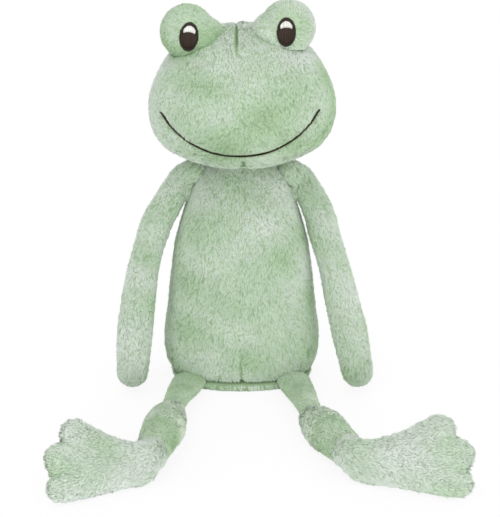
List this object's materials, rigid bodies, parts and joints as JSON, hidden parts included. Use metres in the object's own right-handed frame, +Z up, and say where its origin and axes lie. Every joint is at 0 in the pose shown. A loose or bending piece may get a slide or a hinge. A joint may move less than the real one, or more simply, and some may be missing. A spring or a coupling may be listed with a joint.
{
  "type": "plush frog",
  "caption": "Seated plush frog in short green pile, with raised eye mounds, a stitched smile, hanging arms and floppy jointed legs with webbed feet.",
  "frame": {"origin": "middle of the seat panel's flat underside, on the surface the frog sits on", "axes": "+Z up, -Y the way the frog faces, +X to the frog's own left"},
  "size_m": [0.2266, 0.2343, 0.2398],
  "materials": {
    "pile_green": "short polyester plush pile, matt with a soft sheen",
    "limb_green": "short polyester plush pile, matt with a soft sheen",
    "seam_green": "knitted backing of the plush, matt",
    "filling_white": "loose polyester fibre, matt",
    "pellet_cream": "woven pouch of plastic granules, matt",
    "thread_brown": "satin-stitched embroidery thread, slight gloss",
    "thread_white": "satin-stitched embroidery thread, slight gloss"
  },
  "bodies": {
    "torso": {"body_skin": "pile_green", "base_panel": "pile_green", "pellet_pouch": "pellet_cream", "body_filling": "filling_white"},
    "neck": {"neck_seam": "seam_green"},
    "head": {"head_skin": "pile_green", "head_filling": "filling_white", "mouth_stitching": "thread_brown", "eye_mound_left": "pile_green", "eye_mound_filling_left": "filling_white", "eye_outline_left": "thread_brown", "eye_white_left": "thread_white", "eye_pupil_left": "thread_brown", "eye_mound_right": "pile_green", "eye_mound_filling_right": "filling_white", "eye_outline_right": "thread_brown", "eye_white_right": "thread_white", "eye_pupil_right": "thread_brown"},
    "shoulder_left": {"shoulder_seam_left": "seam_green"},
    "arm_left": {"arm_skin_left": "limb_green", "arm_filling_left": "filling_white"},
    "hip_left": {"hip_seam_left": "seam_green"},
    "thigh_left": {"thigh_skin_left": "limb_green", "thigh_filling_left": "filling_white"},
    "shin_left": {"shin_skin_left": "limb_green", "shin_filling_left": "filling_white"},
    "foot_left": {"foot_skin_left": "limb_green", "foot_filling_left": "filling_white"},
    "shoulder_right": {"shoulder_seam_right": "seam_green"},
    "arm_right": {"arm_skin_right": "limb_green", "arm_filling_right": "filling_white"},
    "hip_right": {"hip_seam_right": "seam_green"},
    "thigh_right": {"thigh_skin_right": "limb_green", "thigh_filling_right": "filling_white"},
    "shin_right": {"shin_skin_right": "limb_green", "shin_filling_right": "filling_white"},
    "foot_right": {"foot_skin_right": "limb_green", "foot_filling_right": "filling_white"}
  },
  "joints": [
    {"name": "neck_turn", "type": "hinge", "parent": "torso", "child": "neck", "pos_m": [0, 0.01372, 0.1305], "axis": [0, 0, 1], "range_deg": [-35, 35], "stiffness_Nm_per_rad": 0.25},
    {"name": "neck_nod", "type": "hinge", "parent": "neck", "child": "head", "pos_m": [0, 0.01372, 0.1305], "axis": [1, 0, 0], "range_deg": [-25, 3], "stiffness_Nm_per_rad": 0.35},
    {"name": "arm_swing_left", "type": "hinge", "parent": "torso", "child": "shoulder_left", "pos_m": [0.037, 0.01298, 0.1235], "axis": [-1, 0, 0], "range_deg": [-45, 95]},
    {"name": "arm_raise_left", "type": "hinge", "parent": "shoulder_left", "child": "arm_left", "pos_m": [0.037, 0.01298, 0.1235], "axis": [0, -1, 0], "range_deg": [0, 75]},
    {"name": "hip_spread_left", "type": "hinge", "parent": "torso", "child": "hip_left", "pos_m": [0.031, -0.038, 0.0099], "axis": [0, 0, 1], "range_deg": [-10, 30]},
    {"name": "hip_lift_left", "type": "hinge", "parent": "hip_left", "child": "thigh_left", "pos_m": [0.031, -0.038, 0.0099], "axis": [-1, 0, 0], "range_deg": [-70, 60]},
    {"name": "knee_bend_left", "type": "hinge", "parent": "thigh_left", "child": "shin_left", "pos_m": [0.04072, -0.09313, 0.00863], "axis": [0.9848, 0.1736, 0], "range_deg": [-15, 45]},
    {"name": "ankle_turn_left", "type": "hinge", "parent": "shin_left", "child": "foot_left", "pos_m": [0.05953, -0.14838, 0.01264], "axis": [-0.0928, -0.2416, -0.9659], "range_deg": [-25, 35]},
    {"name": "arm_swing_right", "type": "hinge", "parent": "torso", "child": "shoulder_right", "pos_m": [-0.037, 0.01298, 0.1235], "axis": [-1, 0, 0], "range_deg": [-45, 95]},
    {"name": "arm_raise_right", "type": "hinge", "parent": "shoulder_right", "child": "arm_right", "pos_m": [-0.037, 0.01298, 0.1235], "axis": [0, 1, 0], "range_deg": [0, 75]},
    {"name": "hip_spread_right", "type": "hinge", "parent": "torso", "child": "hip_right", "pos_m": [-0.031, -0.038, 0.0099], "axis": [0, 0, -1], "range_deg": [-10, 30]},
    {"name": "hip_lift_right", "type": "hinge", "parent": "hip_right", "child": "thigh_right", "pos_m": [-0.031, -0.038, 0.0099], "axis": [-1, 0, 0], "range_deg": [-70, 60]},
    {"name": "knee_bend_right", "type": "hinge", "parent": "thigh_right", "child": "shin_right", "pos_m": [-0.03956, -0.09329, 0.0122], "axis": [0.9882, -0.153, 0], "range_deg": [-15, 45]},
    {"name": "ankle_turn_right", "type": "hinge", "parent": "shin_right", "child": "foot_right", "pos_m": [-0.04871, -0.15107, 0.01257], "axis": [-0.1195, 0.2296, 0.9659], "range_deg": [-25, 35]}
  ]
}
